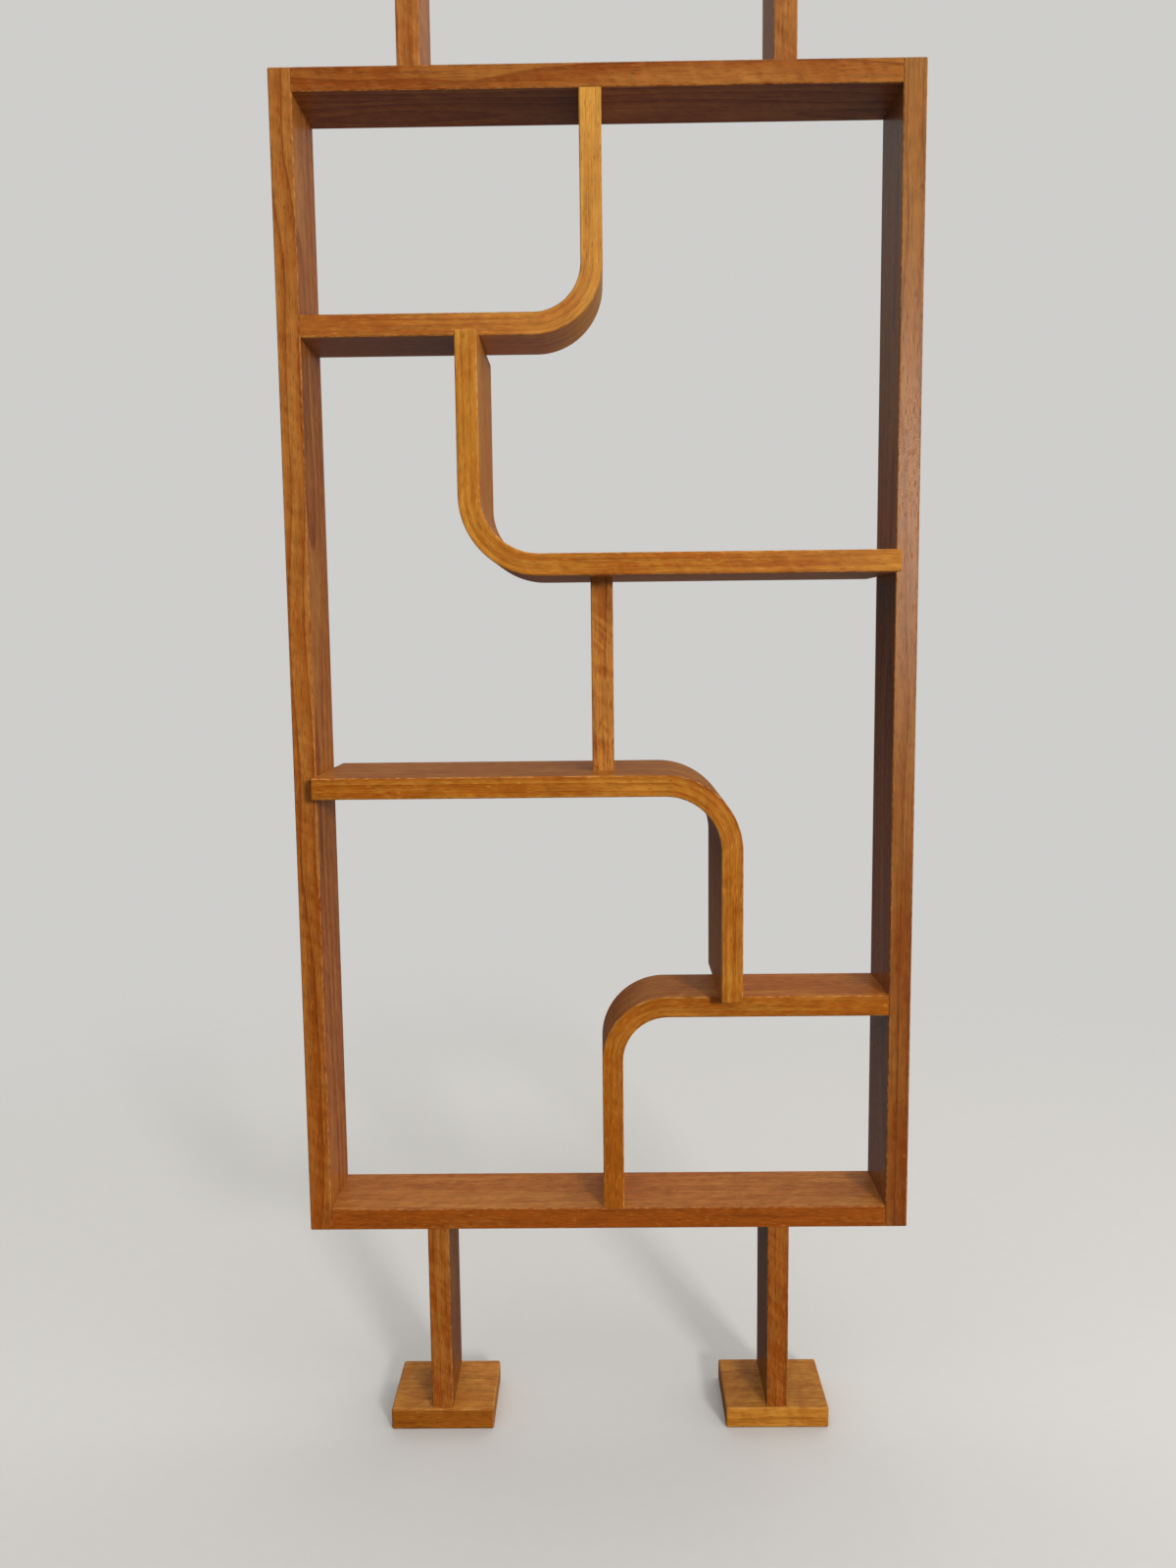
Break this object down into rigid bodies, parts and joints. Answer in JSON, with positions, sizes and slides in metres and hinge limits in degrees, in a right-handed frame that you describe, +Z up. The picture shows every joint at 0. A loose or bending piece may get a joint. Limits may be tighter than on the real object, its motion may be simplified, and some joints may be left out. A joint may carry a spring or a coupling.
{
  "type": "floor to ceiling room divider",
  "caption": "Wooden room divider: a tall board frame on block feet with bent laminated shelves inside and posts that jack up to the ceiling.",
  "frame": {"origin": "on the floor, in the middle of the overall width and depth", "axes": "+Z up, -Y towards the front that the picture shows, +X to the right seen from the front"},
  "size_m": [0.7, 0.18, 2.55],
  "materials": {
    "frame_wood": "satin red-brown lacquered wood",
    "bent_wood": "satin golden laminated wood",
    "post_wood": "satin red-brown lacquered wood",
    "block_wood": "satin brown lacquered wood",
    "dowel_wood": "bare beech",
    "steel": "bright zinc-plated steel",
    "felt": "dense dark felt"
  },
  "bodies": {
    "divider": {"bottom_rail": "frame_wood", "centre_post": "frame_wood", "frame_corner_dowels": "dowel_wood", "left_foot": "block_wood", "left_foot_screws": "steel", "left_jack_washer": "steel", "left_leg": "post_wood", "left_side_board": "frame_wood", "left_upper_post": "post_wood", "long_bend_dowels": "dowel_wood", "lower_long_bend": "bent_wood", "lower_short_bend": "bent_wood", "right_foot": "block_wood", "right_foot_screws": "steel", "right_jack_washer": "steel", "right_leg": "post_wood", "right_side_board": "frame_wood", "right_upper_post": "post_wood", "short_bend_dowels": "dowel_wood", "top_rail": "frame_wood", "upper_long_bend": "bent_wood", "upper_short_bend": "bent_wood"},
    "left_nut": {"left_jack_nut": "steel"},
    "left_pad": {"left_jack_rod": "steel", "left_jack_plate": "steel", "left_plate_screws": "steel", "left_ceiling_block": "block_wood", "left_ceiling_felt": "felt"},
    "right_nut": {"right_jack_nut": "steel"},
    "right_pad": {"right_jack_rod": "steel", "right_jack_plate": "steel", "right_plate_screws": "steel", "right_ceiling_block": "block_wood", "right_ceiling_felt": "felt"}
  },
  "joints": [
    {"name": "left_nut_turn", "type": "hinge", "parent": "divider", "child": "left_nut", "pos_m": [-0.2, -0.01, 2.5129], "axis": [0, 0, 1], "range_deg": [-10286, 0]},
    {"name": "left_pad_slide", "type": "slide", "parent": "divider", "child": "left_pad", "axis": [0, 0, 1], "range_m": [0, 0.05]},
    {"name": "right_nut_turn", "type": "hinge", "parent": "divider", "child": "right_nut", "pos_m": [0.2, -0.01, 2.5129], "axis": [0, 0, 1], "range_deg": [-10286, 0]},
    {"name": "right_pad_slide", "type": "slide", "parent": "divider", "child": "right_pad", "axis": [0, 0, 1], "range_m": [0, 0.05]}
  ],
  "couplings": [
    {"joint": "left_nut_turn", "follows": "left_pad_slide", "rad_per_m": -3590.4},
    {"joint": "right_nut_turn", "follows": "right_pad_slide", "rad_per_m": -3590.4}
  ]
}
